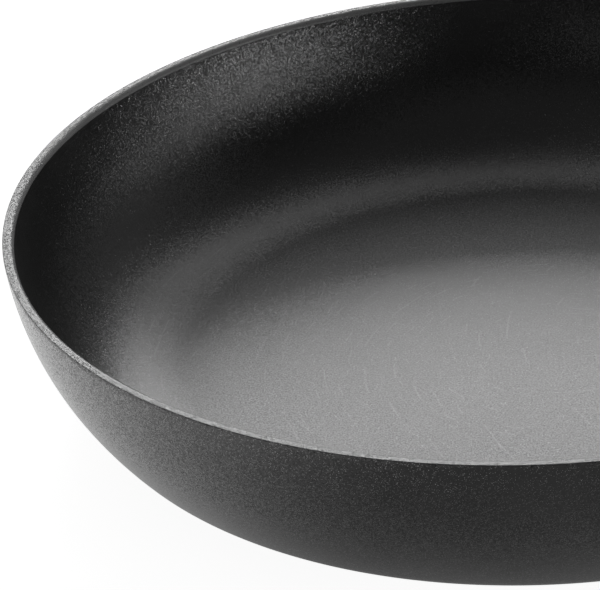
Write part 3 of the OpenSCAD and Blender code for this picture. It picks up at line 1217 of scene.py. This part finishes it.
# soft boxes round the pan: compass angle from the back, arc, lower and upper angle above the floor,
# how far away, and radiance
lamps = {
    "backBox": (0, 30, 15.5, 28.5, 2.2, 5.15),
    "backLowBox": (0, 30, 7, 15.5, 2.3, 0.9),
    "upperBackBox": (0, 60, 28, 62, 2.1, 0.8),
    "rightStrip": (115, 38, 0.2, 7, 2.2, 5.9),
    "rightBox": (104, 60, 0.2, 16, 2.4, 0.9),
    "rightFill": (50, 70, 7, 44, 2.5, 0.13),
    "frontLeftFill": (210, 30, 7, 16, 2.3, 0.35),
    "leftStrip": (295, 60, 0.2, 5, 2.3, 3),
    "upperLeftFill": (300, 60, 44, 62, 2.2, 0.5),
}
# a weak box overhead, from above the back of the pan to far in front of it
roofBox = {"back": 1.1, "front": -3.1, "width": 3.0, "height": 2.2, "radiance": 0.05}


def makeStage(s):
    bpy.ops.mesh.primitive_plane_add(size=s["size"], location=(0, 0, -s["below"] * mm))
    floor = bpy.context.object
    floor.name = "stageFloor"
    material, nodes, links, shader = newMaterial("stageWhite")
    shader.inputs["Base Color"].default_value = (s["white"], s["white"], s["white"], 1)
    shader.inputs["Roughness"].default_value = 1
    shader.inputs["Specular IOR Level"].default_value = 0
    path = addNode(nodes, "ShaderNodeLightPath").outputs
    mirrored = mathNode(nodes, links, "MAXIMUM", path["Is Glossy Ray"], path["Is Transmission Ray"])
    aside = mathNode(nodes, links, "ABSOLUTE", splitPlace(nodes, links, objectPlace(nodes))["X"])
    # painted shade in front of the pan and painted light on both sides, seen only by gloss rays
    paintedShadeAndLight = mapRange(nodes, links, aside, s["sideFrom"], s["sideTo"], s["glossPaintedShade"], s["glossPaintedLight"])
    mirrored = mathNode(nodes, links, "MULTIPLY", mirrored, paintedShadeAndLight)
    direct = mathNode(nodes, links, "MULTIPLY", path["Is Camera Ray"], s["direct"])
    glow = mathNode(nodes, links, "ADD", mirrored, direct)
    shader.inputs["Emission Color"].default_value = (1, 1, 1, 1)
    links.new(glow, shader.inputs["Emission Strength"])
    clear = addNode(nodes, "ShaderNodeBsdfTransparent")
    below = addNode(nodes, "ShaderNodeNewGeometry").outputs["Backfacing"]
    mixed = addNode(nodes, "ShaderNodeMixShader")
    links.new(below, mixed.inputs[0])
    links.new(shader.outputs[0], mixed.inputs[1])
    links.new(clear.outputs[0], mixed.inputs[2])
    links.new(mixed.outputs[0], nodes["Material Output"].inputs["Surface"])
    floor.data.materials.append(material)

    world = bpy.data.worlds.new("studioWorld")
    bpy.context.scene.world = world
    world.use_nodes = True
    nodes, links = world.node_tree.nodes, world.node_tree.links
    path = addNode(nodes, "ShaderNodeLightPath").outputs
    strength = mapRange(nodes, links, path["Is Camera Ray"], 0, 1, s["ambient"], 1.0, smooth=False)
    background = nodes["Background"]
    background.inputs["Color"].default_value = (1, 1, 1, 1)
    links.new(strength, background.inputs["Strength"])


def addPanel(name, place, width, height, radiance):
    # an evenly bright panel; its power is its radiance times pi times its area
    bpy.ops.object.light_add(type="AREA", location=place)
    lamp = bpy.context.object
    lamp.name = name
    lamp.data.shape = "RECTANGLE"
    lamp.data.size = width
    lamp.data.size_y = height
    lamp.data.energy = radiance * math.pi * width * height
    lamp.visible_camera = False
    return lamp


def addSoftBox(name, angle, arc, lowAngle, highAngle, away, radiance):
    angle = math.radians(angle)
    low, high = (away * math.tan(math.radians(above)) for above in (lowAngle, highAngle))
    place = (away * math.sin(angle), away * math.cos(angle), (low + high) / 2)
    lamp = addPanel(name, place, 2 * away * math.tan(math.radians(arc / 2)), high - low, radiance)
    lamp.rotation_euler = (math.pi / 2, 0, math.pi - angle)


def addRoofBox(s):
    place = (0, (s["back"] + s["front"]) / 2, s["height"])
    addPanel("roofBox", place, s["width"], s["back"] - s["front"], s["radiance"])


makeStage(stage)
addRoofBox(roofBox)
for lampName, values in lamps.items():
    addSoftBox(lampName, *values)
bpy.context.scene.view_settings.view_transform = "Standard"
print("stage and lamps set")
